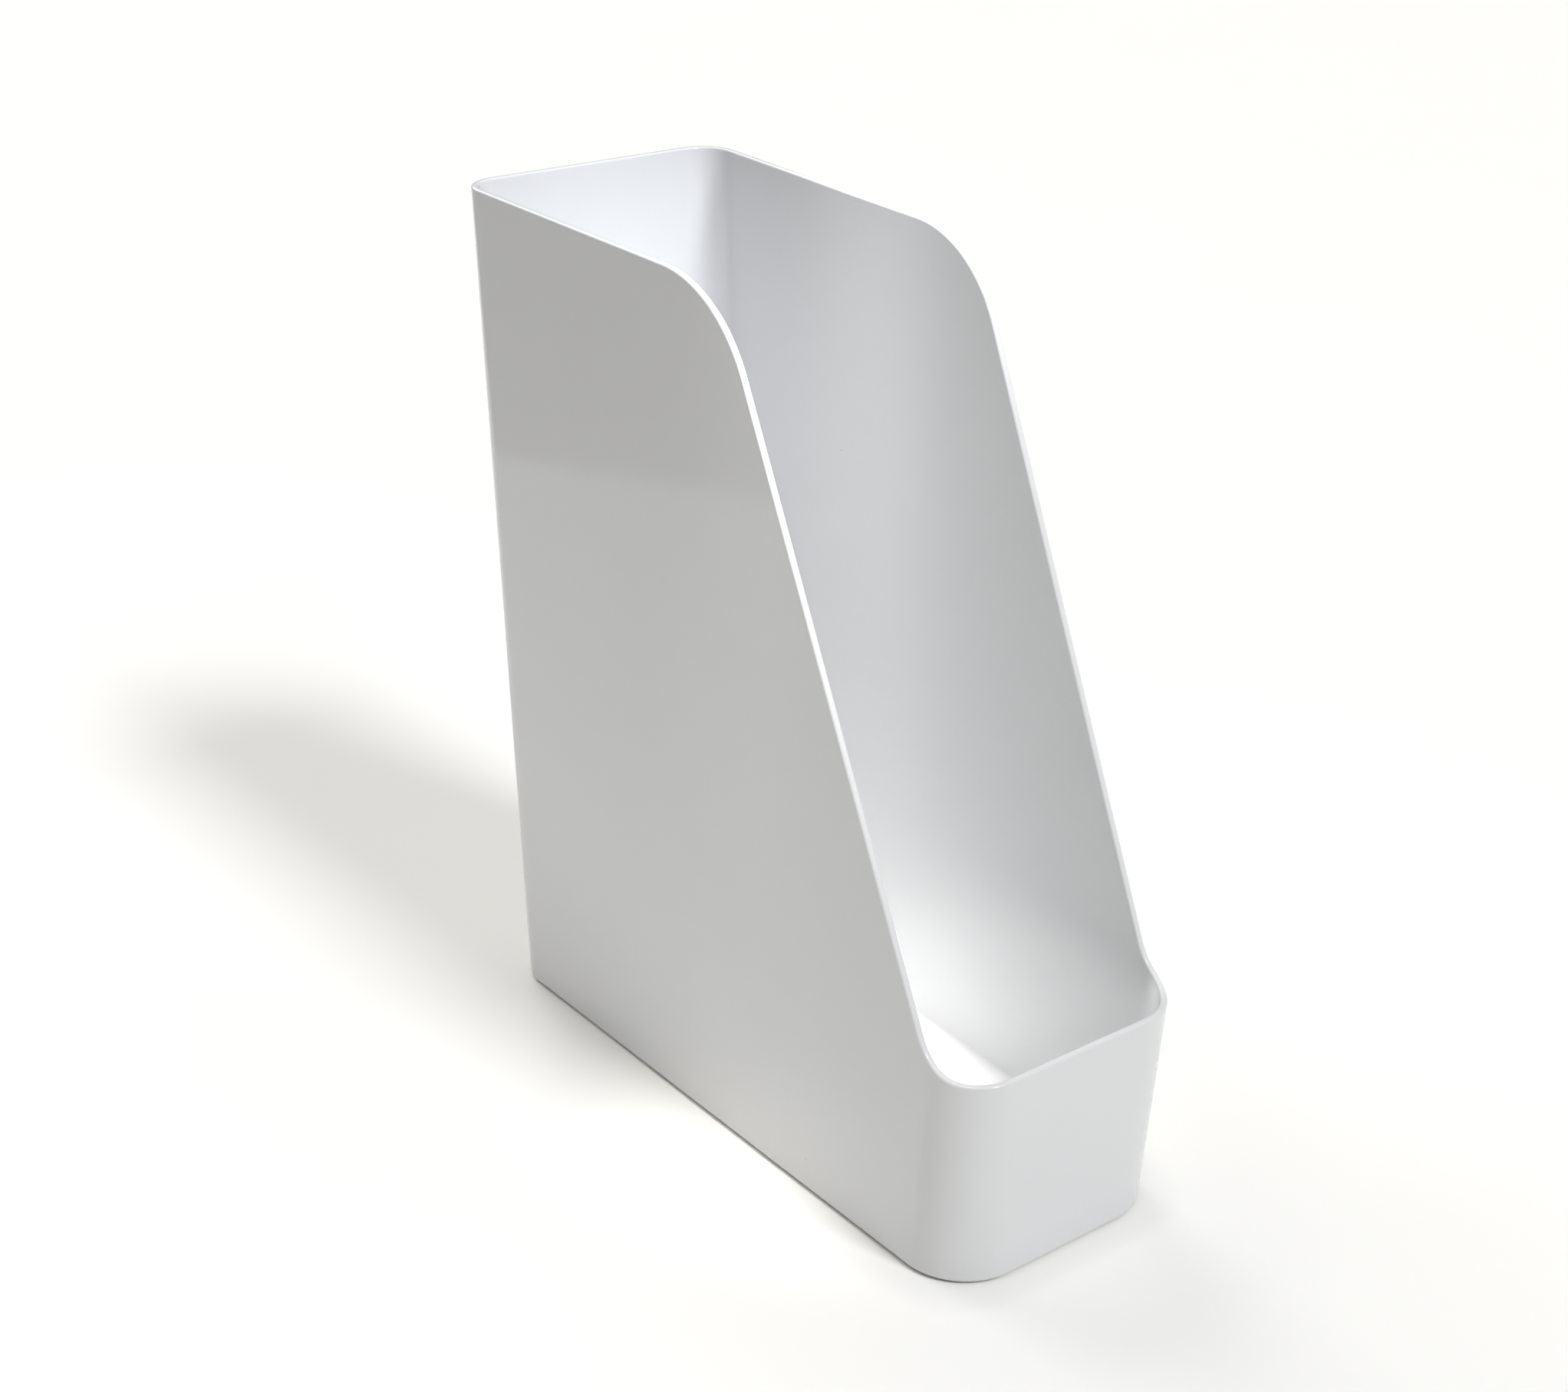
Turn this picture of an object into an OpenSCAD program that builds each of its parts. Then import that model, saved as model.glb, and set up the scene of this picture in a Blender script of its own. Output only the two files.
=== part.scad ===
// Magazine file holder: a tall open bin moulded in one piece, on four non-slip pads.
// Millimetres. +Z is up, the low front wall faces -Y, and the origin is on the table,
// under the middle of the bin's outer box.

/* [Overall size] */
// Height of the rim at the back above the table
total_h = 305; // [290:1:330]
// Depth from the front rim to the back rim
total_d = 269; // [260:1:300]
// Width across the rim at the back, the widest place
total_w = 106.2; // [96:0.2:120]

/* [Lean of the walls] */
// Outward lean of each side wall, in degrees
side_draft = 0.45; // [0.2:0.05:1.5]
// Outward lean of the front wall, in degrees
front_draft = 2.25; // [0.5:0.05:3]
// Outward lean of the back wall, in degrees
back_draft = 2; // [0.5:0.05:3]
// How much each side wall turns in towards the front, in degrees
plan_taper = 0.9; // [0:0.05:2]

/* [Side outline] */
// Height of the front rim above the table
front_h = 77.5; // [60:0.5:110]
// Depth of the straight back part of the rim, up to where it starts to curve down
top_run = 120.5; // [90:0.5:140]
// Fall of that straight part towards the front, in degrees
top_fall = 1.4; // [0:0.1:3]
// Lean of the sloping rim from the vertical, in degrees
slope_lean = 24.6; // [20:0.2:28]
// Radius of the round shoulder at the top of the slope
shoulder_r = 45; // [20:1:55]
// Radius of the hollow curve at the foot of the slope
toe_r = 20; // [10:1:32]

/* [Walls and corners] */
// Wall thickness
wall = 2.4; // [1.8:0.1:3.2]
// Floor thickness
floor_t = 3; // [2.5:0.1:4]
// Outer radius of the two front corners at the foot
front_foot_r = 24; // [20:0.5:26]
// Outer radius of the two front corners at the front rim
front_rim_r = 18.5; // [17:0.5:26]
// Outer radius of the two back corners
back_corner_r = 13; // [10:0.5:24]
// Radius of the lower outer edge
foot_edge_r = 2; // [1:0.5:4]
// Radius between the floor and the walls inside
inner_edge_r = 4; // [1:0.5:6]

/* [Non-slip pads] */
// Pad diameter
pad_d = 11; // [8:0.5:14]
// Pad thickness
pad_t = 1.4; // [1.2:0.1:2]
// How far a pad stands out below the bin
pad_proud = 0.5; // [0.3:0.1:1]
// Distance from a pad's centre to the nearest outer faces at the bottom of the bin
pad_inset = 16; // [14:0.5:22]

/* [Hidden] */

white = [0.95, 0.95, 0.96];
rubber_grey = [0.62, 0.63, 0.64];

corner_fn = 72;      // facets round a full circle of an upright corner or a pad
arc_fn = 96;         // facets round the large arcs of the side outline
skin = 0.01;         // thickness of each thin slice that a hull spans
over = 1;            // how far a cutter runs past the solid
edge_steps = 4;      // slices that make a rounded lower edge

bin_z = pad_proud;               // height of the bin's underside
rim_z = total_h;                 // height of the back rim
half_d = total_d / 2;
half_w = total_w / 2;

// The outer walls at height z and depth y: each is a flat plane that leans outward.
widest_y = half_d - back_corner_r;
function side_x(y, z) = half_w - (rim_z - z) * tan(side_draft) - (widest_y - y) * tan(plan_taper);
function front_y(z) = -half_d + (front_h - z) * tan(front_draft);
function back_y(z) = half_d - (rim_z - z) * tan(back_draft);

// The outer radius of the front corners at height z. It changes evenly from the foot upwards, and
// stays larger than the inset, so that an inset corner is still round.
function front_r(z, inset) =
    max(front_foot_r + (front_rim_r - front_foot_r) * (z - bin_z) / (front_h - bin_z), inset + skin);

// The round end of a level slice in one corner, inset from the outer faces. Its centre is one
// corner radius in from the side wall.
module corner_disc(side, y, z, r, inset) {
    x = side_x(y, z) - r / cos(plan_taper);
    translate([side * x, y, z]) cylinder(h = skin, r = r - inset, $fn = corner_fn);
}

// The four corners of one thin level slice through the walls.
module slice(z, inset) {
    for (side = [-1, 1]) {
        corner_disc(side, front_y(z) + front_r(z, inset), z, front_r(z, inset), inset);
        corner_disc(side, back_y(z) - back_corner_r, z, back_corner_r, inset);
    }
}

// The solid inside a set of leaning walls, from z_low up to z_high, with a rounded lower edge.
module drafted_solid(z_low, z_high, inset, edge_r) {
    hull() {
        for (step = [0 : edge_steps]) {
            angle = 90 * step / edge_steps;
            slice(z_low + edge_r * (1 - cos(angle)), inset + edge_r * (1 - sin(angle)));
        }
        slice(z_high - skin, inset);
    }
}

// The side outline, drawn with depth along X and height along Y.
uphill = [sin(slope_lean), cos(slope_lean)];             // along the slope, upwards
to_back = [cos(top_fall), sin(top_fall)];                // along the straight part of the rim, backwards
level = [1, 0];
shoulder_turn = 90 - slope_lean - top_fall;              // how far the rim turns at each bend
toe_turn = 90 - slope_lean;
shoulder_run = shoulder_r * tan(shoulder_turn / 2);      // from the sharp corner to where its arc starts
toe_run = toe_r * tan(toe_turn / 2);
arc_start = [half_d - top_run, rim_z - top_run * tan(top_fall)];
shoulder = arc_start - shoulder_run * to_back;           // the sharp corners, where the lines meet
toe = [shoulder.x - (shoulder.y - front_h) * tan(slope_lean), front_h];

// The centre of the arc of radius r that rounds a sharp corner, between two lines that leave
// the corner along from_a and from_b and touch the arc at a distance of run.
function arc_centre(corner, from_a, from_b, r, run) =
    let (middle = from_a + from_b) corner + middle / norm(middle) * sqrt(r * r + run * run);

module side_outline() {
    shoulder_centre = arc_centre(shoulder, to_back, -uphill, shoulder_r, shoulder_run);
    toe_centre = arc_centre(toe, -level, uphill, toe_r, toe_run);
    arc_end = shoulder - shoulder_run * uphill;
    outward = over * (shoulder - shoulder_centre) / norm(shoulder - shoulder_centre);
    difference() {
        polygon([
            [half_d + over, -over], [half_d + over, rim_z + over * tan(top_fall)], shoulder,
            toe + toe_run * uphill, toe_centre, toe - toe_run * level,
            [-half_d - over, front_h], [-half_d - over, -over]
        ]);
        translate(toe_centre) circle(r = toe_r, $fn = arc_fn);
        difference() {
            polygon([
                shoulder_centre, arc_start, arc_start + outward, shoulder + 2 * outward,
                arc_end + outward, arc_end
            ]);
            translate(shoulder_centre) circle(r = shoulder_r, $fn = arc_fn);
        }
    }
}

// Where the pads sit.
pad_front_y = front_y(bin_z) + pad_inset;
pad_back_y = back_y(bin_z) - pad_inset;
function pad_x(y) = side_x(y, bin_z) - pad_inset;

module pad_disc(side, y) {
    translate([side * pad_x(y), y, 0]) cylinder(h = pad_t, d = pad_d, $fn = corner_fn);
}

module bin() {
    color(white) difference() {
        intersection() {
            difference() {
                drafted_solid(bin_z, rim_z + over, 0, foot_edge_r);
                drafted_solid(bin_z + floor_t, rim_z + 2 * over, wall, inner_edge_r);
            }
            rotate([90, 0, 90]) linear_extrude(height = total_w + 2 * over, center = true) side_outline();
        }
        for (side = [-1, 1]) {
            pad_disc(side, pad_front_y);
            pad_disc(side, pad_back_y);
        }
    }
}

module pad(side, y) {
    color(rubber_grey) pad_disc(side, y);
}

bin();
pad(-1, pad_front_y);  // pad_front_left
pad(1, pad_front_y);  // pad_front_right
pad(-1, pad_back_y);  // pad_back_left
pad(1, pad_back_y);  // pad_back_right
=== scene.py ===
# %% [markdown]
# # A magazine file, modelled and finished in Blender
#
# The real object is one thin-walled bin, moulded in glossy white plastic. It stands on four small
# soft pads that are pressed into its underside. Its size and its rigid frame come from a packed
# model, so this script starts by loading that model. Blender works in metres, so lengths that are
# easier to read in millimetres are multiplied by MM.

# %% Load the frame
import math

import bmesh
import bpy
from mathutils import Matrix, Vector


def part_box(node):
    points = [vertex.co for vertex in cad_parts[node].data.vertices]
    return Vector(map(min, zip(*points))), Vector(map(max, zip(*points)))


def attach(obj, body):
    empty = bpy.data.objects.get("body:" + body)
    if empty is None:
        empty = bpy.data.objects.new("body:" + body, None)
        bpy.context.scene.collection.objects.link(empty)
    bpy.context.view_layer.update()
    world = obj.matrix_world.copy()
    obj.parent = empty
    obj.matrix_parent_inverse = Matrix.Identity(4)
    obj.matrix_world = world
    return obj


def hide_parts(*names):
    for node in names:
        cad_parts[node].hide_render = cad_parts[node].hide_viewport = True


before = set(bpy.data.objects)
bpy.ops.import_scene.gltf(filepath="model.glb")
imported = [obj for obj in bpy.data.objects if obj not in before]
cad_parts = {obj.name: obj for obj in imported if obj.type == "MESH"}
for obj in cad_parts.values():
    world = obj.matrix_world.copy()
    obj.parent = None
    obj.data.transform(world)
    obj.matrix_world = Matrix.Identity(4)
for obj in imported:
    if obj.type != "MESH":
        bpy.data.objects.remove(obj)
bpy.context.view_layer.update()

MM = 0.001


def in_mm(lengths):
    """Lengths in rounded millimetres, for printing."""
    return [round(length / MM, 2) for length in lengths]


# %% [markdown]
# ## The camera first
#
# The view is settled before the object, so that every later step can be judged in it. A camera
# could be aimed with a Track To constraint, but its matrix is just as simple: its columns are the
# picture's right, up and back directions. Setting these from an azimuth, an elevation and a small
# roll keeps the view easy to change: azimuth turns the camera round the object, elevation lifts it
# above the floor.

# %% Place the camera
CAMERA_AT = Vector((-459.9, -590.9, 494.6)) * MM
AZIMUTH, ELEVATION = -36.97, 24.81      # degrees
ROLL = math.radians(0.14)
LENS = 56.12                   # focal length in mm, on a sensor 36 mm wide


def direction(azimuth, elevation):
    """A unit vector at these angles in degrees. Azimuth 0 is in front of the bin, 90 to its right."""
    turn, lift = math.radians(azimuth), math.radians(elevation)
    return Vector((
        math.sin(turn) * math.cos(lift),
        -math.cos(turn) * math.cos(lift),
        math.sin(lift),
    ))


back = direction(AZIMUTH, ELEVATION)
level_right = direction(AZIMUTH + 90, 0)
level_up = back.cross(level_right)
right = math.cos(ROLL) * level_right + math.sin(ROLL) * level_up
up = back.cross(right)

bpy.ops.object.camera_add()
camera = bpy.context.object
camera.name = "camera"
turned = Matrix((right, up, back)).transposed().to_4x4()
camera.matrix_world = Matrix.Translation(CAMERA_AT) @ turned
camera.data.sensor_width = 36
camera.data.lens = LENS
camera.data.clip_start, camera.data.clip_end = 0.01, 100
bpy.context.scene.camera = camera
print("camera looks along", [round(-value, 3) for value in back])

# %% [markdown]
# ## Helpers for working in edit mode
#
# A mesh operator acts on whatever is selected. With a mouse you would click on faces and edges; in
# a script they are picked by a rule, such as "every edge that stands upright". These few helpers
# deselect everything first, and then select what passes the rule.

# %% Picking and adding
def deselect_all():
    """Nothing is selected or active any more."""
    bpy.ops.object.select_all(action="DESELECT")
    bpy.context.view_layer.objects.active = None


def select_only(piece):
    """This piece is selected and active, and nothing else."""
    deselect_all()
    piece.select_set(True)
    bpy.context.view_layer.objects.active = piece


def work_on(piece):
    """Opens one piece's mesh for editing."""
    select_only(piece)
    bpy.ops.object.mode_set(mode="EDIT")


def done_editing():
    """Back to object mode."""
    bpy.ops.object.mode_set(mode="OBJECT")


def pick(kind, rule):
    """Selects only the VERT, EDGE or FACE parts that pass the rule, and returns how many."""
    bpy.ops.mesh.select_mode(type=kind)
    bpy.ops.mesh.select_all(action="DESELECT")
    mesh = bmesh.from_edit_mesh(bpy.context.edit_object.data)
    parts = {"VERT": mesh.verts, "EDGE": mesh.edges, "FACE": mesh.faces}[kind]
    chosen = [part for part in parts if rule(part)]
    for part in chosen:
        part.select_set(True)
    mesh.select_flush_mode()
    bmesh.update_edit_mesh(bpy.context.edit_object.data)
    return len(chosen)


def middle(edge):
    """The middle of an edge."""
    return (edge.verts[0].co + edge.verts[1].co) / 2


def is_upright(edge):
    """True for an edge that runs mostly up and down."""
    along = edge.verts[1].co - edge.verts[0].co
    return abs(along.z) > 0.9 * along.length


def apply_modifier(piece, kind, name, **settings):
    """Adds a modifier with these settings and applies it."""
    select_only(piece)
    modifier = piece.modifiers.new(name, kind)
    for setting, value in settings.items():
        setattr(modifier, setting, value)
    bpy.ops.object.modifier_apply(modifier=modifier.name)


# %% [markdown]
# ## The bin: where its walls stand
#
# A moulded bin has no upright walls. Each one leans outward by a degree or two, the draft that
# lets it slip off the mould, and here the sides also splay towards the back. So the four walls are
# flat planes, and one small function says where each stands at a given depth and height.

# %% Measure the walls
RIM_TOP = 305 * MM             # the rim at the back, above the table
HALF_DEPTH = 134.5 * MM
HALF_WIDTH = 53.1 * MM
UNDERSIDE = 0.5 * MM           # the pads lift the bin by this much
LIP_TOP = 77.5 * MM            # the low front rim
BACK_CORNER = 13 * MM          # radii of the upright corners
FRONT_FOOT_CORNER, FRONT_RIM_CORNER = 24 * MM, 18.5 * MM
SIDE_DRAFT, SPLAY = math.radians(0.45), math.radians(0.9)
FRONT_DRAFT, BACK_DRAFT = math.radians(2.25), math.radians(2)


def side_wall(y, z):
    """How far the side walls' outer faces are from the middle, at this depth and height."""
    return (HALF_WIDTH - (RIM_TOP - z) * math.tan(SIDE_DRAFT)
            - (HALF_DEPTH - BACK_CORNER - y) * math.tan(SPLAY))


def front_wall(z):
    """The depth of the front wall's outer face at this height."""
    return -HALF_DEPTH + (LIP_TOP - z) * math.tan(FRONT_DRAFT)


def back_wall(z):
    """The depth of the back wall's outer face at this height."""
    return HALF_DEPTH - (RIM_TOP - z) * math.tan(BACK_DRAFT)


def front_corner(z):
    """The radius of the front corners at this height: it shrinks evenly from the foot upwards."""
    share = (z - UNDERSIDE) / (LIP_TOP - UNDERSIDE)
    return FRONT_FOOT_CORNER + (FRONT_RIM_CORNER - FRONT_FOOT_CORNER) * share


foot_y = front_wall(UNDERSIDE)
print("half width of the foot in front and behind, mm:",
      in_mm([side_wall(foot_y, UNDERSIDE), side_wall(back_wall(UNDERSIDE), UNDERSIDE)]))

# %% [markdown]
# ## The bin: from a cube to a leaning tub
#
# The tub could be drawn as a curve and skinned, but a cube is quicker and exact. Its corners are
# taken two at a time, left and right together, and scaled and moved until they stand where the
# planes of the walls meet. The tub is as tall as the back rim all round; the slope comes later.

# %% Set the cube's corners on the walls
deselect_all()
bpy.ops.mesh.primitive_cube_add(size=1, location=(0, 0, 0.5))
bin_body = bpy.context.object
bin_body.name = "bin_body"
bpy.ops.object.transform_apply(location=True, rotation=False, scale=False)
work_on(bin_body)
for is_back in (False, True):
    for is_top in (False, True):
        z = RIM_TOP if is_top else UNDERSIDE
        y = back_wall(z) if is_back else front_wall(z)
        start = Vector((0.5, 0.5 if is_back else -0.5, 1.0 if is_top else 0.0))
        pick("VERT", lambda v: abs(v.co.y - start.y) < MM and abs(v.co.z - start.z) < MM)
        bpy.ops.transform.resize(value=(side_wall(y, z) / start.x, 1, 1), center_override=(0, 0, 0))
        bpy.ops.transform.translate(value=(0, y - start.y, z - start.z))
done_editing()
print("corners, mm:", [in_mm(v.co) for v in bin_body.data.vertices])

# %% [markdown]
# ## The bin: round upright corners
#
# Bevelling the four upright edges rounds them. The bevel's offset is the distance from the sharp
# edge to where the round begins, which is a little less than the radius where the walls meet at
# more than a right angle, as in front, and a little more at the back. The front corners are fuller
# at the foot than at the rim, like part of a cone. A bevel has one radius, so they are given the
# radius of their upper end, and then the lower end of each is scaled up about the point where the
# sharp edge stood, which keeps the round tangent to both walls.

# %% Round the upright corners
FRONT_STEPS, BACK_STEPS = 32, 24      # faces round each corner

work_on(bin_body)
for sign, radius, steps in (
    (-1, front_corner(RIM_TOP), FRONT_STEPS), (1, BACK_CORNER, BACK_STEPS),
):
    half_angle = (math.pi / 2 - sign * SPLAY) / 2
    pick("EDGE", lambda e: is_upright(e) and sign * middle(e).y > 0)
    bpy.ops.mesh.bevel(
        offset=radius / math.tan(half_angle), offset_type="OFFSET", segments=steps,
        profile=0.5, affect="EDGES", clamp_overlap=False,
    )
fuller = FRONT_FOOT_CORNER / front_corner(RIM_TOP)
for side in (-1, 1):
    pick("VERT", lambda v: v.co.z < UNDERSIDE + MM and v.co.y < 0 and v.co.x * side > 0)
    sharp_foot = (side * side_wall(foot_y, UNDERSIDE), foot_y, UNDERSIDE)
    bpy.ops.transform.resize(value=(fuller, fuller, 1), center_override=sharp_foot)
pick("FACE", lambda f: abs(f.normal.z) > 0.9)
bpy.ops.mesh.delete(type="ONLY_FACE")
done_editing()
print("tube has", len(bin_body.data.polygons), "faces")

# %% [markdown]
# ## The bin: the side outline
#
# Seen from the side the rim runs almost level from the back, turns over a round shoulder, drops
# down a straight slope, and swings out through a smaller curve to the low front lip. The outline
# is a function that gives the rim's height at any depth, from those two straight lines, the lip and
# the two arcs that join them.

# %% Describe the outline
TOP_RUN = 120.5 * MM           # the nearly level part, from the back
TOP_FALL, SLOPE_LEAN = math.radians(1.4), math.radians(24.6)
SHOULDER, TOE = 45 * MM, 20 * MM      # radii

arc_start_y = HALF_DEPTH - TOP_RUN
arc_start_z = RIM_TOP - TOP_RUN * math.tan(TOP_FALL)
shoulder_y = arc_start_y + SHOULDER * math.sin(TOP_FALL)      # the centre of the shoulder's arc
shoulder_z = arc_start_z - SHOULDER * math.cos(TOP_FALL)
slope_top_y = shoulder_y - SHOULDER * math.cos(SLOPE_LEAN)
slope_top_z = shoulder_z + SHOULDER * math.sin(SLOPE_LEAN)
slope_foot_z = LIP_TOP + TOE * (1 - math.sin(SLOPE_LEAN))
slope_foot_y = slope_top_y - (slope_top_z - slope_foot_z) * math.tan(SLOPE_LEAN)
toe_y = slope_foot_y - TOE * math.cos(SLOPE_LEAN)             # the centre of the toe's arc
toe_z = LIP_TOP + TOE


def rim_height(y):
    """The height of the rim at this depth."""
    if y >= arc_start_y:
        return RIM_TOP - (HALF_DEPTH - y) * math.tan(TOP_FALL)
    if y >= slope_top_y:
        return shoulder_z + math.sqrt(SHOULDER ** 2 - (y - shoulder_y) ** 2)
    if y >= slope_foot_y:
        return slope_top_z - (slope_top_y - y) / math.tan(SLOPE_LEAN)
    if y >= toe_y:
        return toe_z - math.sqrt(TOE ** 2 - (y - toe_y) ** 2)
    return LIP_TOP


print("slope from", in_mm([slope_top_y, slope_top_z]), "to", in_mm([slope_foot_y, slope_foot_z]),
      "and the toe's centre at", in_mm([toe_y, toe_z]))

# %% [markdown]
# ## The bin: upright cuts where the rim will curve
#
# The top edge can only follow a curve if it has points there. The rounded corners have plenty, but
# the flat sides have none, so each side is cut by planes: close together under the shoulder's arc
# and the last of the toe's arc, and one here and there along the straight parts. Near the toe the
# planes lean like the line where the side meets its front corner, so that they run beside the
# strips of the corner and never through them.

# %% Cut the sides under the curves
SHOULDER_STEPS, TOE_STEPS = 22, 4

upright = Vector((0, 1, 0))
corner_line = [front_wall(z) + front_corner(z) for z in (UNDERSIDE, RIM_TOP)]
corner_lean = math.atan2(corner_line[0] - corner_line[1], RIM_TOP - UNDERSIDE)
like_corner = Vector((0, math.cos(corner_lean), math.sin(corner_lean)))
last_turn = math.pi / 2 - SLOPE_LEAN
cuts = []
for step in range(SHOULDER_STEPS + 1):
    turn = TOP_FALL + (last_turn - TOP_FALL) * step / SHOULDER_STEPS
    cuts.append((shoulder_y - SHOULDER * math.sin(turn), upright))
side_starts = front_wall(slope_foot_z) + front_corner(slope_foot_z)
for step in range(1, TOE_STEPS + 1):
    cuts.append((side_starts + (slope_foot_y - side_starts) * step / TOE_STEPS, like_corner))
for share in (0.2, 0.4, 0.6, 0.8):
    cuts.append((slope_foot_y + (slope_top_y - slope_foot_y) * share, upright))
for share in (0.25, 0.5, 0.75):
    cuts.append((arc_start_y + (HALF_DEPTH - BACK_CORNER - arc_start_y) * share, upright))

work_on(bin_body)
for y, facing in cuts:
    bpy.ops.mesh.select_all(action="SELECT")
    bpy.ops.mesh.bisect(plane_co=(0, y, rim_height(y)), plane_no=facing)
done_editing()
print(len(cuts), "cuts,", len(bin_body.data.polygons), "upright strips")

# %% [markdown]
# ## The bin: floor and wall thickness
#
# The lower rim of the tube is filled with one face, which is the underside. A Solidify modifier
# then grows the wall inward to an even 2.4 mm, and the floor with it. The floor of such a bin is a
# little thicker than its walls, so the inner floor is lifted by the difference.

# %% Fill the floor and give the walls their thickness
WALL, FLOOR = 2.4 * MM, 3 * MM

work_on(bin_body)
pick("EDGE", lambda e: e.is_boundary and middle(e).z < UNDERSIDE + MM)
bpy.ops.mesh.edge_face_add()
bpy.ops.mesh.select_all(action="SELECT")
bpy.ops.mesh.normals_make_consistent(inside=False)
done_editing()
underside = min(bin_body.data.polygons, key=lambda f: f.center.z)
print("underside faces", "down" if underside.normal.z < 0 else "up",
      "and has", underside.loop_total, "corners")

apply_modifier(
    bin_body, "SOLIDIFY", "wall", thickness=WALL, offset=-1, use_even_offset=True,
    use_quality_normals=True, use_rim=True,
)
work_on(bin_body)
lifted = pick("FACE", lambda f: f.normal.z > 0.99 and f.calc_center_median().z < UNDERSIDE + FLOOR)
bpy.ops.transform.translate(value=(0, 0, FLOOR - WALL))
done_editing()
print("lifted", lifted, "face of the inner floor")

# %% [markdown]
# ## The bin: bring the top edge down to the outline
#
# Now every upright strip still ends at full height. Each point of the top edge, outside and
# inside, slides down along its own upright edge until it meets the outline. Because it stays on
# that edge, the walls stay flat and keep their lean. The inner and the outer points are treated
# alike, so the rim is cut square to the side, as the two halves of a mould would cut it.

# %% Slide the top edge down
BELOW_RIM = 50 * MM            # a height between the floor and the lowest part of the rim


def is_full_height(foot, head):
    """True for the ends of an edge that runs from the foot or the inner floor up to the top."""
    return foot.z < UNDERSIDE + 2 * FLOOR and head.z > RIM_TOP - 2 * FLOOR


def slide_to_outline(foot, head):
    """The point on the upright edge from foot to head where the outline crosses it."""
    point = head.copy()
    for _ in range(12):
        point = foot + (head - foot) * ((rim_height(point.y) - foot.z) / (head.z - foot.z))
    return point


work_on(bin_body)
mesh = bmesh.from_edit_mesh(bin_body.data)
slides = []
for edge in mesh.edges:
    foot, head = sorted(edge.verts, key=lambda v: v.co.z)
    if is_upright(edge) and is_full_height(foot.co, head.co):
        slides.append((head.index, slide_to_outline(foot.co, head.co) - head.co))
for index, shift in slides:
    pick("VERT", lambda v: v.index == index)
    bpy.ops.transform.translate(value=shift)
done_editing()
tops = [v.co.z for v in bin_body.data.vertices if v.co.z > BELOW_RIM]
print(len(slides), "points moved; the rim's lowest and highest point, mm:",
      in_mm([min(tops), max(tops)]))

# %% [markdown]
# ## The bin: soften every edge
#
# No moulded edge is sharp. The rim has a small round on each side and a narrow flat land between,
# which is what draws two fine bright lines along it. The foot is rounded outside, and inside the
# floor flows into the walls with a larger curve.

# %% Round the rim, the foot and the inner floor
RIM_ROUND, FOOT_ROUND, FLOOR_ROUND = 0.8 * MM, 2 * MM, 4 * MM


def is_flat_down(face):
    """True for the underside."""
    return face.normal.z < -0.99


def is_inner_floor(face):
    """True for the floor inside."""
    return face.normal.z > 0.999 and face.calc_center_median().z < UNDERSIDE + 2 * FLOOR


work_on(bin_body)
for test, radius, steps in ((is_flat_down, FOOT_ROUND, 6), (is_inner_floor, FLOOR_ROUND, 8)):
    found = pick("EDGE", lambda e: sum(test(f) for f in e.link_faces) == 1)
    bpy.ops.mesh.bevel(
        offset=radius, offset_type="OFFSET", segments=steps, profile=0.5, affect="EDGES",
        clamp_overlap=False,
    )
    print("rounded", found, "edges by, mm:", in_mm([radius]))


def is_land(face):
    """True for the faces along the top of the rim: all other faces reach down to the foot."""
    return min(v.co.z for v in face.verts) > BELOW_RIM


found = pick("EDGE", lambda e: sum(is_land(f) for f in e.link_faces) == 1)
bpy.ops.mesh.bevel(
    offset=RIM_ROUND, offset_type="OFFSET", segments=5, profile=0.5, affect="EDGES",
    clamp_overlap=False,
)
done_editing()
print("rounded", found, "edges of the rim")

# %% [markdown]
# ## The bin: recesses underneath
#
# The pads sit in shallow round recesses. The underside is one large flat face, so these are cut
# with cutters and a Boolean modifier rather than drawn into its mesh. Each cutter widens a little
# where it leaves the plastic, which gives a softened edge. A Boolean can leave two points in one
# place, so points that touch are merged afterwards.

# %% Make the cutters and cut the underside
PAD_ROOM, PAD_TOP = 5.7 * MM, 1.4 * MM      # a recess's radius, and the height of its ceiling
PAD_NAMES = ("pad_front_left", "pad_front_right", "pad_back_left", "pad_back_right")


def centre_of(node):
    """The middle of a CAD node's box, on the floor."""
    low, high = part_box(node)
    return Vector(((low.x + high.x) / 2, (low.y + high.y) / 2, 0))


def add_disc(name, centre, radius, low, high, corners):
    """A closed disc between two heights, open in edit mode, to be shaped further."""
    deselect_all()
    bpy.ops.mesh.primitive_cylinder_add(
        vertices=corners, radius=radius, depth=high - low,
        location=(centre.x, centre.y, (low + high) / 2),
    )
    disc = bpy.context.object
    disc.name = name
    disc.data.name = name
    bpy.ops.object.transform_apply(location=True, rotation=False, scale=False)
    work_on(disc)
    return disc


def widen_mouth(radius, centre, extra):
    """Extrudes a cutter's lower face: first out to a wider mouth, then straight down."""
    pick("FACE", lambda f: f.normal.z < -0.9)
    wider = (radius + extra) / radius
    bpy.ops.mesh.extrude_region_move(TRANSFORM_OT_translate={"value": (0, 0, -extra)})
    bpy.ops.transform.resize(value=(wider, wider, 1), center_override=centre)
    bpy.ops.mesh.extrude_region_move(TRANSFORM_OT_translate={"value": (0, 0, -MM)})


EDGE_EASE = 0.3 * MM
cutters = []
for name in PAD_NAMES:
    centre = centre_of(name)
    cutters.append(add_disc("recess_" + name, centre, PAD_ROOM, UNDERSIDE + EDGE_EASE, PAD_TOP, 96))
    widen_mouth(PAD_ROOM, centre, EDGE_EASE)
    done_editing()

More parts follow.
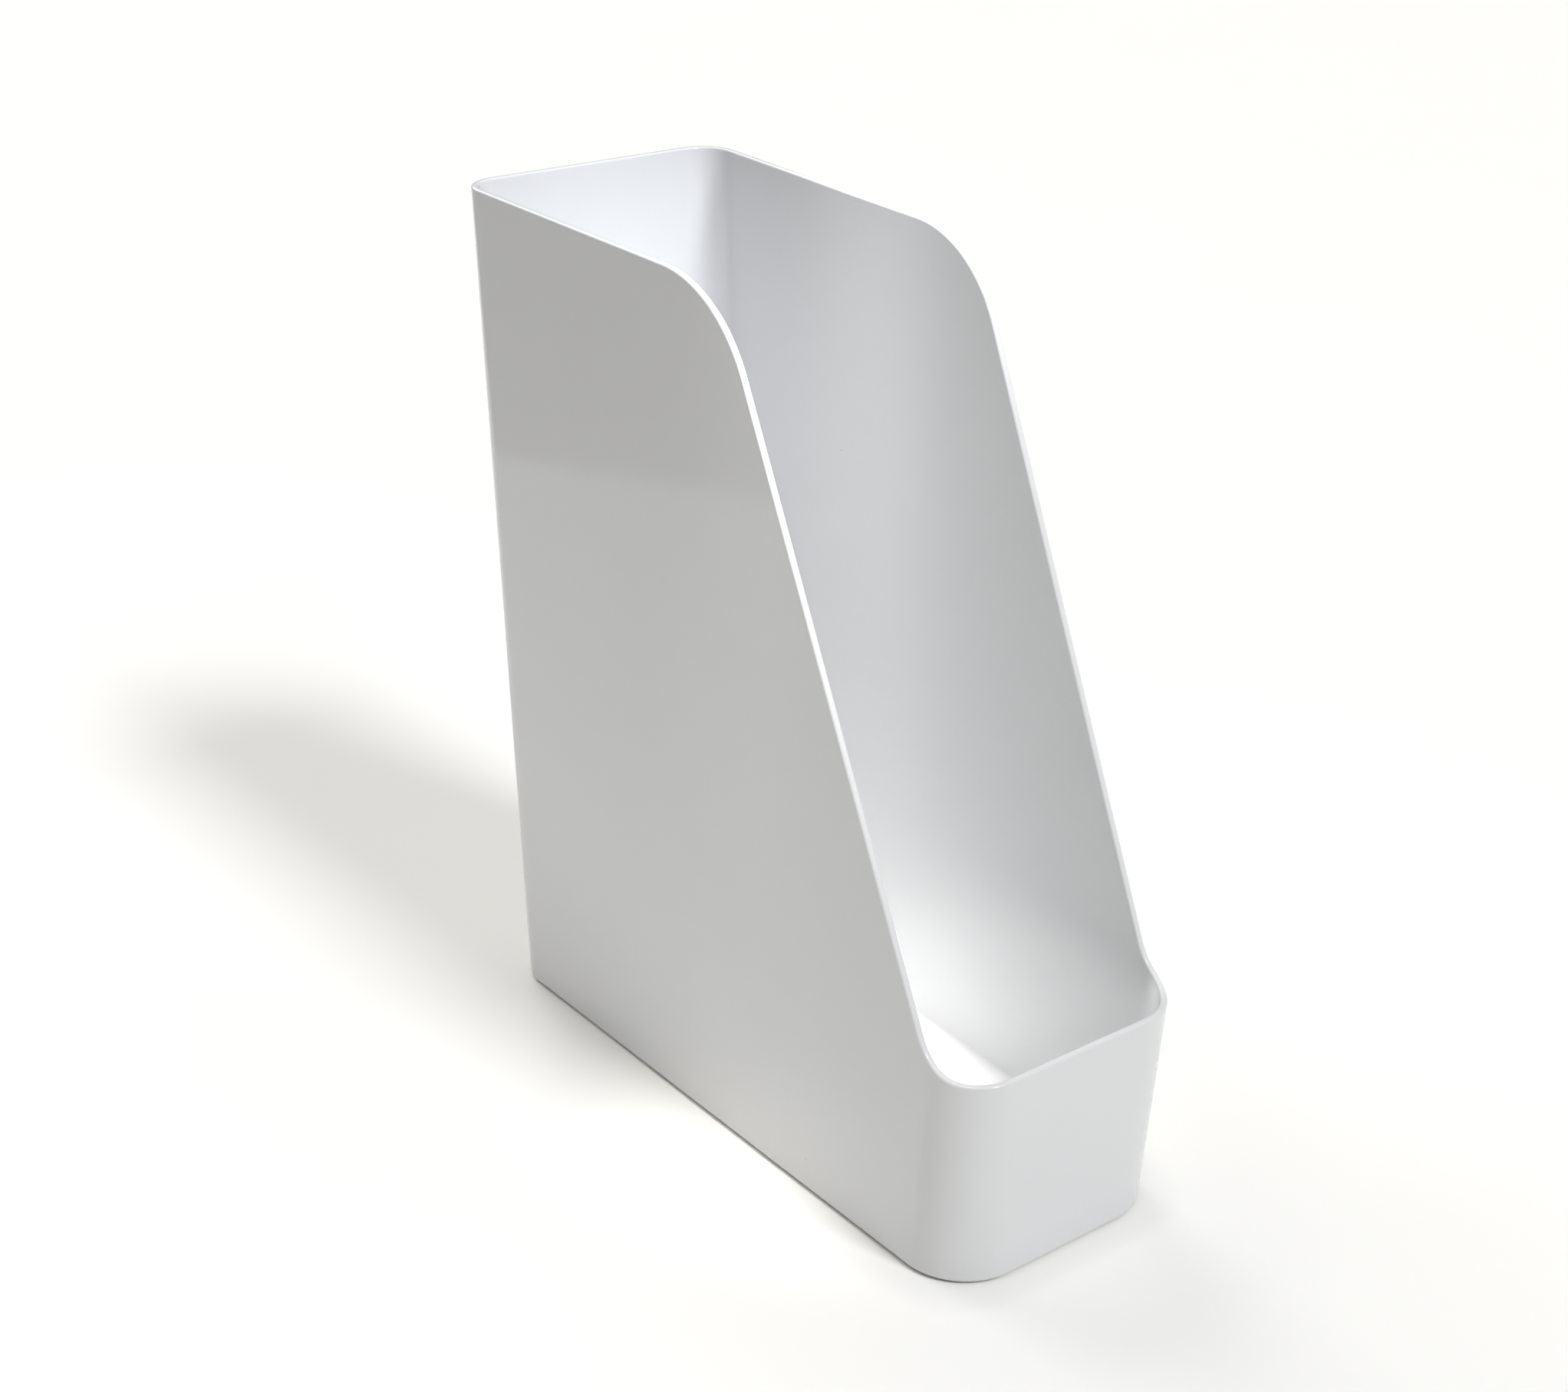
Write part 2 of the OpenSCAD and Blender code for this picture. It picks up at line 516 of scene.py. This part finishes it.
all_cutters = cutters[0]
select_only(all_cutters)
for cutter in cutters:
    cutter.select_set(True)
bpy.ops.object.join()
apply_modifier(
    bin_body, "BOOLEAN", "underside", operation="DIFFERENCE", solver="EXACT", object=all_cutters,
)
bpy.data.objects.remove(all_cutters)
work_on(bin_body)
bpy.ops.mesh.select_all(action="SELECT")
bpy.ops.mesh.remove_doubles(threshold=0.001 * MM)
done_editing()
print("the bin now has", len(bin_body.data.polygons), "faces")

# %% [markdown]
# ## The bin: smooth where it is round, flat where it is flat
#
# Smooth shading blends the light across neighbouring faces. That suits the corners, but it would
# also bend the light near the edges of the big flat walls. A Weighted Normal modifier lets the
# large faces win, so that the walls reflect like flat sheets right up to their rounded edges.

# %% Shade the bin
SMOOTH_BELOW = math.radians(35)


def shade(piece):
    """Smooth shading below an angle, with the large faces' normals winning."""
    select_only(piece)
    bpy.ops.object.shade_smooth_by_angle(angle=SMOOTH_BELOW)
    apply_modifier(piece, "WEIGHTED_NORMAL", "flat_walls", weight=100, keep_sharp=True)


shade(bin_body)
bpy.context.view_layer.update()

# %% [markdown]
# ## The soft pads
#
# A stick-in pad is a die-cut disc of soft rubber: flat, with edges that round over, and a shallow
# dish below so that it grips round its rim. It is modelled once and copied, each copy with its own
# mesh, and moved to its recess. There is a hair of space round each one.

# %% Model one pad and copy it
PAD_RADIUS, PAD_ROUND, DISH_RADIUS, DISH_DEPTH = 5.45 * MM, 0.45 * MM, 3.6 * MM, 0.18 * MM


def model_pad(name, centre):
    """A rubber disc with a rounded edge and a shallow dish in its underside."""
    pad = add_disc(name, centre, PAD_RADIUS, 0, PAD_TOP - 0.02 * MM, 64)
    pick("FACE", lambda f: f.normal.z < -0.9)
    bpy.ops.mesh.inset(thickness=PAD_RADIUS - DISH_RADIUS)
    bpy.ops.mesh.inset(thickness=DISH_RADIUS / 4)
    bpy.ops.transform.translate(value=(0, 0, DISH_DEPTH * 0.8))
    bpy.ops.mesh.inset(thickness=DISH_RADIUS / 3)
    bpy.ops.transform.translate(value=(0, 0, DISH_DEPTH * 0.2))
    outer = 0.9 * PAD_RADIUS
    pick("EDGE", lambda e: abs(e.verts[0].co.z - e.verts[1].co.z) < 0.01 * MM
         and min((v.co - centre).xy.length for v in e.verts) > outer)
    bpy.ops.mesh.bevel(offset=PAD_ROUND, segments=5, profile=0.5, affect="EDGES")
    done_editing()
    return pad


first_pad = model_pad("soft_pad_front_left", centre_of(PAD_NAMES[0]))
pads = [first_pad]
for name in PAD_NAMES[1:]:
    copy = first_pad.copy()
    copy.data = first_pad.data.copy()
    copy.name = copy.data.name = "soft_" + name
    bpy.context.scene.collection.objects.link(copy)
    work_on(copy)
    bpy.ops.mesh.select_all(action="SELECT")
    bpy.ops.transform.translate(value=centre_of(name) - centre_of(PAD_NAMES[0]))
    done_editing()
    pads.append(copy)
for pad in pads:
    shade(pad)
print("pads:", [pad.name for pad in pads], "with", len(first_pad.data.polygons), "faces each")

# %% [markdown]
# ## Helpers for materials
#
# A material is a small network of nodes. Every pattern reads Object coordinates, which are metres
# from the object's origin, so a texture scale of 100 makes features about a centimetre long.

# %% Nodes
def new_material(name):
    """A material with its Principled shader and its object coordinates ready."""
    material = bpy.data.materials.new(name)
    material.use_nodes = True
    nodes = material.node_tree.nodes
    shader = nodes["Principled BSDF"]
    place = nodes.new("ShaderNodeTexCoord").outputs["Object"]
    return material, shader, place


def feed(material, socket, value):
    """Links another node's output to a socket, or sets the socket's own value."""
    if isinstance(value, bpy.types.NodeSocket):
        material.node_tree.links.new(value, socket)
    else:
        socket.default_value = value


def feed_inputs(material, node, **inputs):
    """Feeds a node's inputs by name, with a low line for each space in the name."""
    for name, value in inputs.items():
        feed(material, node.inputs[name.replace("_", " ")], value)


def add_node(material, kind, settings=None, **inputs):
    """Adds a node, sets its properties, and feeds its inputs."""
    node = material.node_tree.nodes.new(kind)
    for name, value in (settings or {}).items():
        setattr(node, name, value)
    feed_inputs(material, node, **inputs)
    return node


def noise(material, place, scale, detail=2.0, roughness=0.5):
    """A noise pattern from 0 to 1."""
    node = add_node(material, "ShaderNodeTexNoise", None, Vector=place, Scale=scale,
                    Detail=detail, Roughness=roughness)
    return node.outputs["Fac"]


def spread(material, value, from_low, from_high, to_low, to_high):
    """Maps a value from one range to another, held within the new one."""
    node = add_node(material, "ShaderNodeMapRange", None, Value=value, From_Min=from_low,
                    From_Max=from_high, To_Min=to_low, To_Max=to_high)
    return node.outputs["Result"]


def calculate(material, operation, *values):
    """What a Math node makes of these values."""
    node = add_node(material, "ShaderNodeMath", {"operation": operation})
    for socket, value in zip(node.inputs, values):
        feed(material, socket, value)
    return node.outputs["Value"]


def blend_colours(material, share, first, second):
    """Mixes two colours by a share from 0 to 1. Sockets 6 and 7 are a Mix node's two colours."""
    node = add_node(material, "ShaderNodeMix", {"data_type": "RGBA"})
    for index, value in ((0, share), (6, first), (7, second)):
        feed(material, node.inputs[index], value)
    return node.outputs[2]


def bump(material, height, depth, normal=None):
    """A bump of this depth in metres, on top of an earlier one."""
    node = add_node(material, "ShaderNodeBump", None, Height=height, Distance=depth, Strength=1.0)
    if normal is not None:
        feed_inputs(material, node, Normal=normal)
    return node.outputs["Normal"]


def give(piece, material):
    """The piece gets this material and no other."""
    piece.data.materials.clear()
    piece.data.materials.append(material)


# %% [markdown]
# ## Glossy white plastic
#
# The bin is moulded against polished steel, so its walls mirror what is round them, softly. They
# are never quite flat: the plastic shrinks as it cools, which leaves long faint waves that bend a
# reflection a little, and a skin of very fine ripples. Handling adds hairline scuffs that show only
# where they catch the light, and a few specks of dust settle on any white plastic. A painted picture
# could carry all this, but noises on the object's own coordinates need no unwrapping, never repeat,
# and stay fixed to the plastic.

# %% Make the plastic
PLASTIC_TONES = (0.745, 0.748, 0.750, 1), (0.765, 0.768, 0.770, 1)
SPECK_TONE = (0.52, 0.51, 0.49, 1)
SMOOTHEST, DULLEST, SCUFF_DULLNESS = 0.055, 0.090, 0.10      # roughness

white_plastic, shader, place = new_material("gloss_white_plastic")
waves = noise(white_plastic, place, 9, detail=1.0)
ripples = noise(white_plastic, place, 420, detail=2.0)
handling = noise(white_plastic, place, 26, detail=4.0, roughness=0.6)

stretched = add_node(white_plastic, "ShaderNodeMapping", None, Vector=place,
                     Rotation=(0.4, 0.3, 0.6), Scale=(900, 900, 22)).outputs["Vector"]
scuffs = spread(white_plastic, noise(white_plastic, stretched, 1.0, detail=1.0), 0.70, 0.78, 0, 1)
worn = spread(white_plastic, handling, 0.52, 0.68, 0, 1)
shown_scuffs = calculate(white_plastic, "MULTIPLY", scuffs, worn)

dots = add_node(white_plastic, "ShaderNodeTexVoronoi", {"feature": "F1"}, Vector=place, Scale=42)
specks = spread(white_plastic, dots.outputs["Distance"], 0.010, 0.016, 1, 0)

tone = blend_colours(white_plastic, handling, *PLASTIC_TONES)
tone = blend_colours(white_plastic, specks, tone, SPECK_TONE)
gloss = spread(white_plastic, handling, 0.35, 0.75, SMOOTHEST, DULLEST)
gloss = calculate(white_plastic, "MULTIPLY_ADD", shown_scuffs, SCUFF_DULLNESS, gloss)
surface = bump(white_plastic, waves, 0.12 * MM)
surface = bump(white_plastic, ripples, 0.0006 * MM, surface)
feed_inputs(white_plastic, shader, Base_Color=tone, Roughness=gloss, Normal=surface, IOR=1.5)
give(bin_body, white_plastic)
print("plastic nodes:", len(white_plastic.node_tree.nodes))

# %% [markdown]
# ## Soft rubber
#
# The pads are pale grey rubber with a dull, slightly grainy skin. Dust sticks to it in patches. One
# even grey would pass for plastic, so a fine noise gives the grain, and a broader one lightens the
# tone and dulls the sheen where dust has stuck.

# %% Make the rubber
RUBBER_TONE, DUST_TONE = (0.27, 0.275, 0.28, 1), (0.36, 0.36, 0.35, 1)

pad_rubber, shader, place = new_material("soft_grey_rubber")
grain = noise(pad_rubber, place, 2600, detail=3.0)
dust = noise(pad_rubber, place, 320, detail=5.0, roughness=0.65)
dusty = spread(pad_rubber, dust, 0.45, 0.7, 0, 1)
feed_inputs(
    pad_rubber, shader, Base_Color=blend_colours(pad_rubber, dusty, RUBBER_TONE, DUST_TONE),
    Roughness=spread(pad_rubber, dust, 0.3, 0.7, 0.55, 0.8),
    Normal=bump(pad_rubber, grain, 0.02 * MM), IOR=1.52,
)
for pad in pads:
    give(pad, pad_rubber)
print("rubber nodes:", len(pad_rubber.node_tree.nodes))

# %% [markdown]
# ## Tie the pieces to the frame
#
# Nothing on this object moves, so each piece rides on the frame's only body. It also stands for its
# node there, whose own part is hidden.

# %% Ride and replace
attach(bin_body, "root")
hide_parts("bin")
for name, pad in zip(PAD_NAMES, pads):
    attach(pad, "root")
    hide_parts(name)

# %% [markdown]
# ## The paper on the table
#
# The bin stands on a sheet of plain white paper. The sheet ends a little way to the left, and what
# lies beyond it is darker: that is what draws the border across the left wall, because a glossy
# wall mirrors the paper below and what comes after it. A plane is enough for it, with each of its
# corners moved to its place. The paper is a little warm.

# %% Lay the paper
PAPER_NEAR, PAPER_FAR, PAPER_RIGHT = -2.2, 3.2, 3.0
PAPER_LEFT_NEAR, PAPER_LEFT_FAR = -1.706, 0.857      # the left edge runs aslant between these
PAPER_TONES = (0.950, 0.936, 0.900, 1), (0.960, 0.946, 0.911, 1)

deselect_all()
bpy.ops.mesh.primitive_plane_add(size=1)
paper = bpy.context.object
paper.name = "white_paper"
work_on(paper)
for side, end, x, y in (
    (-0.5, -0.5, PAPER_LEFT_NEAR, PAPER_NEAR), (-0.5, 0.5, PAPER_LEFT_FAR, PAPER_FAR),
    (0.5, -0.5, PAPER_RIGHT, PAPER_NEAR), (0.5, 0.5, PAPER_RIGHT, PAPER_FAR),
):
    start = Vector((side, end, 0))
    pick("VERT", lambda v: (v.co - start).length < MM)
    bpy.ops.transform.translate(value=Vector((x, y, 0)) - start)
done_editing()

paper_white, shader, place = new_material("paper_white")
fibres = noise(paper_white, place, 900, detail=3.0)
tone = blend_colours(paper_white, noise(paper_white, place, 4.0), *PAPER_TONES)
feed_inputs(
    paper_white, shader, Base_Color=tone, Roughness=0.85,
    Normal=bump(paper_white, fibres, 0.01 * MM), Specular_IOR_Level=0.2,
)
give(paper, paper_white)
print("paper, m:", [[round(c, 2) for c in v.co.xy] for v in paper.data.vertices])

# %% [markdown]
# ## The lamps
#
# Three distant lamps light the paper evenly as far as it can be seen, which area lamps near the
# table could not do. The key lamp in front, a little to the right, gives the form and the soft
# shadow, and is a little cool; a very broad one overhead fills it; and the one behind lights the
# paper and the rims but not the walls that face the camera. A tall narrow bin is dark inside, so
# three small gridded lamps hang over it, which light the inside and almost nothing else.

# %% Hang the lamps
COOL, COOLER = (0.955, 0.985, 1.035), (0.95, 0.985, 1.06)
PLAIN, WARM = (1.0, 0.998, 0.99), (1.0, 0.992, 0.968)


def hang_lamp(kind, name, power, colour, away):
    """Adds a lamp that shines against the direction away."""
    bpy.ops.object.light_add(type=kind)
    lamp = bpy.context.object
    lamp.name = name
    lamp.data.energy, lamp.data.color = power, colour
    lamp.rotation_euler = away.to_track_quat("Z", "Y").to_euler()
    return lamp


def hang_distant_lamp(name, azimuth, elevation, width, power, colour):
    """A lamp so far away that its light is even. Its width is an angle in degrees."""
    lamp = hang_lamp("SUN", name, power, colour, direction(azimuth, elevation))
    lamp.data.angle = math.radians(width)


def hang_gridded_lamp(name, place, target, size, spread_angle, power, colour):
    """A small lamp whose grid keeps its light within an angle; the camera doesn't see it."""
    lamp = hang_lamp("AREA", name, power, colour, Vector(place) - Vector(target))
    lamp.location = place
    lamp.data.shape = "RECTANGLE"
    lamp.data.size, lamp.data.size_y = size
    lamp.data.spread = math.radians(spread_angle)
    lamp.visible_camera = False


deselect_all()
hang_distant_lamp("key_lamp", azimuth=9.5, elevation=45, width=13, power=1.53, colour=COOL)
hang_distant_lamp("sky_lamp", azimuth=0, elevation=90, width=90, power=1.38, colour=PLAIN)
hang_distant_lamp("back_lamp", azimuth=180, elevation=35, width=50, power=1.32, colour=PLAIN)
hang_gridded_lamp("inside_lamp", place=(0, -0.03, 0.5), target=(0, 0, 0),
                  size=(0.05, 0.16), spread_angle=24, power=0.048, colour=WARM)
hang_gridded_lamp("inside_side_lamp", place=(-0.02, -0.02, 0.62), target=(0.01, 0.01, 0.05),
                  size=(0.05, 0.16), spread_angle=14, power=0.062, colour=WARM)
hang_gridded_lamp("inside_back_lamp", place=(0, -0.35, 0.62), target=(0, 0.125, 0.22),
                  size=(0.08, 0.08), spread_angle=25, power=0.052, colour=COOLER)

# %% [markdown]
# ## The room that the plastic mirrors
#
# What lies beyond the paper is a world shader, which needs no walls to be built. It is a middle
# grey below the horizon, which the left wall mirrors past the paper's edge, and nearly black above
# it, where the lamps do the work. Rays that come straight from the camera see white instead, so the
# paper seems to go on for ever.

# %% Paint the room
TABLE_BEYOND, AROUND, BACKDROP = (0.50, 0.49, 0.49), (0.06, 0.06, 0.06), (1, 1, 1)

world = bpy.data.worlds.new("room")
bpy.context.scene.world = world
world.use_nodes = True
room = world.node_tree
room.nodes.clear()


def background(colour):
    """A background shader of one colour."""
    node = room.nodes.new("ShaderNodeBackground")
    node.inputs["Color"].default_value = (*colour, 1)
    return node.outputs["Background"]


def mix_rooms(share, first, second):
    """Mixes two background shaders."""
    node = room.nodes.new("ShaderNodeMixShader")
    for socket, value in zip(node.inputs, (share, first, second)):
        room.links.new(value, socket)
    return node.outputs["Shader"]


ray_direction = room.nodes.new("ShaderNodeTexCoord").outputs["Generated"]
split = room.nodes.new("ShaderNodeSeparateXYZ")
room.links.new(ray_direction, split.inputs["Vector"])
above = room.nodes.new("ShaderNodeMath")
above.operation = "GREATER_THAN"
above.inputs[1].default_value = 0
room.links.new(split.outputs["Z"], above.inputs[0])
lit = mix_rooms(above.outputs["Value"], background(TABLE_BEYOND), background(AROUND))
camera_ray = room.nodes.new("ShaderNodeLightPath").outputs["Is Camera Ray"]
seen = mix_rooms(camera_ray, lit, background(BACKDROP))
room.links.new(seen, room.nodes.new("ShaderNodeOutputWorld").inputs["Surface"])
bpy.context.scene.view_settings.view_transform = "Standard"
print("room nodes:", len(room.nodes))
